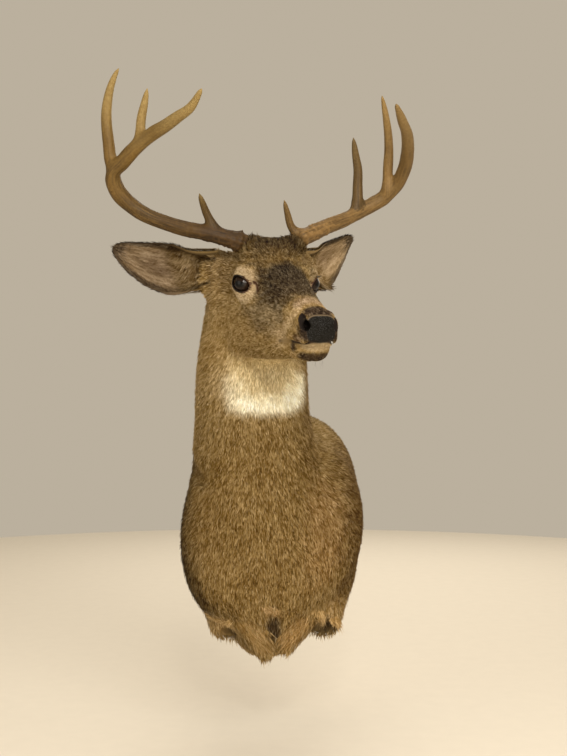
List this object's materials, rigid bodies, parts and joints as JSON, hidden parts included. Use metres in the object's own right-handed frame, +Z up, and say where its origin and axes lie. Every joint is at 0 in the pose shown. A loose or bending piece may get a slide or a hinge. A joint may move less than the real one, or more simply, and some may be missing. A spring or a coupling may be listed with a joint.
{
  "type": "deer shoulder mount",
  "caption": "Life-size white-tailed deer head, neck and shoulders with antlers, head turned to its left, on a hidden back board that hangs flat on a wall",
  "frame": {"origin": "middle of the back board's rear face, where the mount meets the wall", "axes": "+Z up, +Y into the wall, +X to the right of someone facing the mount; the deer looks out along -Y with its head turned towards +X"},
  "size_m": [0.4807, 0.5583, 0.9377],
  "materials": {
    "hide": "short flat grizzled brown winter coat, white throat patch, pale eye rings",
    "ear": "thin leaf ears, short brown hair outside, grey-pink hair inside, dark rim",
    "eye": "polished dark brown glass taxidermy eye",
    "antler": "bone, brown grooved base with pearling, paler tan tips",
    "plywood": "sawn plywood back board"
  },
  "bodies": {
    "root": {"head": "hide", "neck": "hide", "trunk": "hide", "foreleg_right": "hide", "foreleg_left": "hide", "ear_right": "ear", "ear_left": "ear", "eye_right": "eye", "eye_left": "eye", "antler_right_beam_base": "antler", "antler_right_brow_tine": "antler", "antler_right_second_tine": "antler", "antler_right_beam_middle": "antler", "antler_right_third_tine": "antler", "antler_right_beam_tip": "antler", "antler_left_beam_base": "antler", "antler_left_brow_tine": "antler", "antler_left_second_tine": "antler", "antler_left_beam_middle": "antler", "antler_left_third_tine": "antler", "antler_left_beam_tip": "antler", "back_board": "plywood"}
  },
  "joints": []
}
